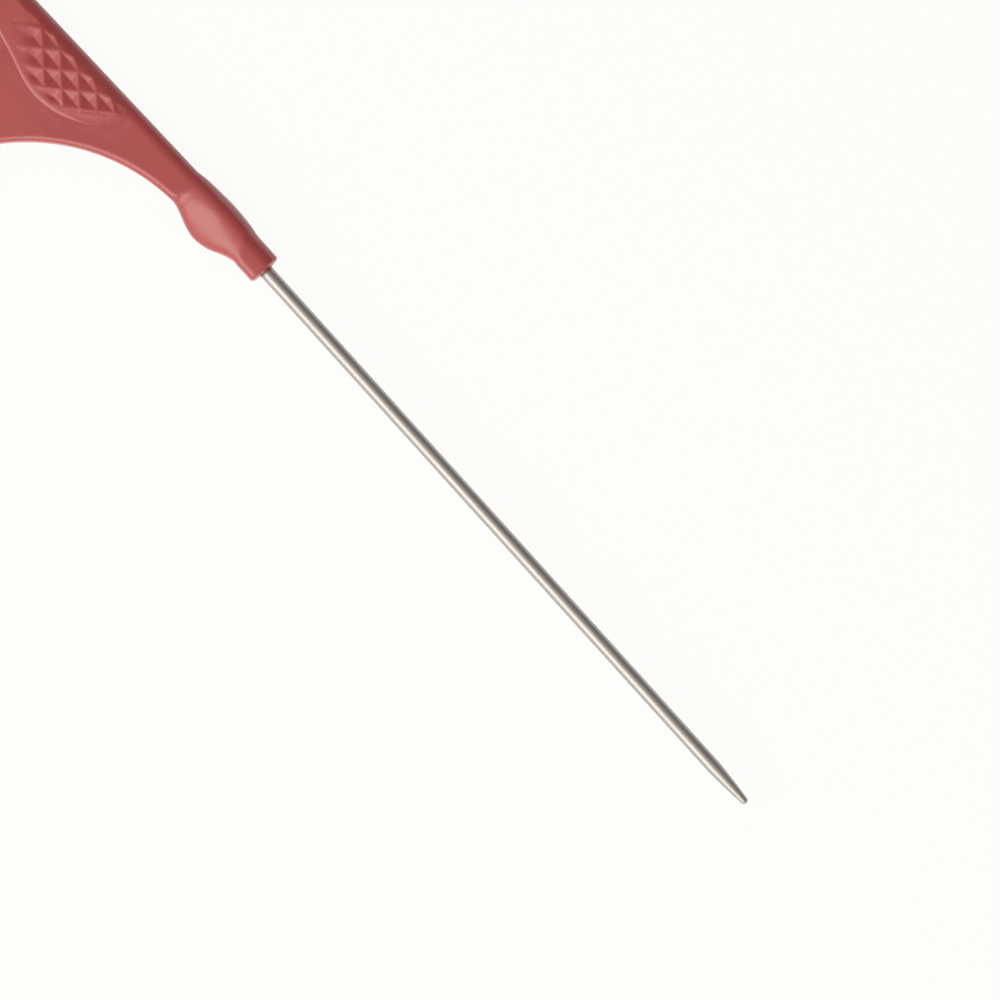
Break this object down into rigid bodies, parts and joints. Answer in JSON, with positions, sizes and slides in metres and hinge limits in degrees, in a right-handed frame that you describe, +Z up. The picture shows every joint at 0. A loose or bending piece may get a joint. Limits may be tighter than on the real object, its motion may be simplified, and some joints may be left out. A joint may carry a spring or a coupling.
{
  "type": "pin tail comb",
  "caption": "Tail comb: fine-toothed moulded comb whose arched, diamond-gripped handle ends in a knob and collar that hold a long straight metal pin with a ground point.",
  "frame": {"origin": "middle of the comb's bounding box, on the surface that it lies on", "axes": "+X along the pin towards its point, +Y from the teeth to the spine, +Z up through the comb's thickness"},
  "size_m": [0.2432, 0.0292, 0.0057],
  "materials": {
    "red_plastic": "satin moulded plastic, dusty red",
    "steel_wire": "drawn and ground stainless wire"
  },
  "bodies": {
    "root": {"comb_back": "red_plastic", "fine_teeth": "red_plastic", "tail_pin": "steel_wire"}
  },
  "joints": []
}
